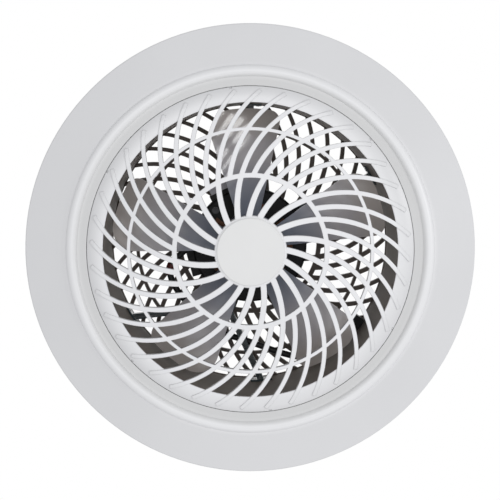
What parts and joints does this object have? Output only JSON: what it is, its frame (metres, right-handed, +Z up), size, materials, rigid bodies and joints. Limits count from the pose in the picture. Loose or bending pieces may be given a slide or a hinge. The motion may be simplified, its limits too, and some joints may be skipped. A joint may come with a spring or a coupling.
{
  "type": "exhaust fan",
  "caption": "Round wall exhaust fan with a wide flange, domed spiral guards front and rear, a short duct, a bladed impeller and a motor held on arms.",
  "frame": {"origin": "centre of the flange's rear plane, on the fan's axis and in the wall plane", "axes": "+Y rearwards along the fan's axis into the wall, front faces -Y, +Z up, +X right as seen from the front"},
  "size_m": [0.4679, 0.1518, 0.468],
  "materials": {
    "white_plastic": "satin",
    "duct_plastic": "gloss",
    "blade_plastic": "gloss",
    "black_plastic": "satin",
    "motor_paint": "satin",
    "core_steel": "satin",
    "winding_copper": "satin",
    "bronze": "satin",
    "shaft_steel": "satin",
    "screw_steel": "satin",
    "arm_paint": "satin",
    "capacitor_grey": "satin",
    "lead_rubber": "matte",
    "sleeve_red": "satin"
  },
  "bodies": {
    "housing": {"front_frame": "white_plastic", "front_guard": "white_plastic", "hub_cap": "white_plastic", "duct": "duct_plastic", "rear_guard": "duct_plastic", "duct_screws": "screw_steel", "rear_guard_screws": "screw_steel", "stator_core": "core_steel", "windings": "winding_copper", "front_end_shield": "motor_paint", "rear_end_shield": "motor_paint", "front_bearing": "bronze", "rear_bearing": "bronze", "motor_screws": "screw_steel", "connection_box": "black_plastic", "capacitor": "capacitor_grey", "lead_box": "black_plastic", "twin_arm": "arm_paint", "right_arm": "arm_paint", "top_arm": "arm_paint", "lug_screws": "screw_steel", "foot_screws": "screw_steel", "supply_lead": "lead_rubber", "splice_sleeve": "sleeve_red", "lead_clips": "black_plastic", "terminal_block": "black_plastic", "terminal_screws": "bronze", "lead_grommet": "lead_rubber"},
    "rotor": {"impeller": "blade_plastic", "impeller_nut": "black_plastic", "drive_pin": "shaft_steel", "motor_shaft": "shaft_steel", "rotor_core": "core_steel", "shaft_spacers": "black_plastic"}
  },
  "joints": [
    {"name": "impeller_spin", "type": "hinge", "parent": "housing", "child": "rotor", "pos_m": [0, 0.044, 0], "axis": [0, 1, 0], "continuous": true}
  ]
}
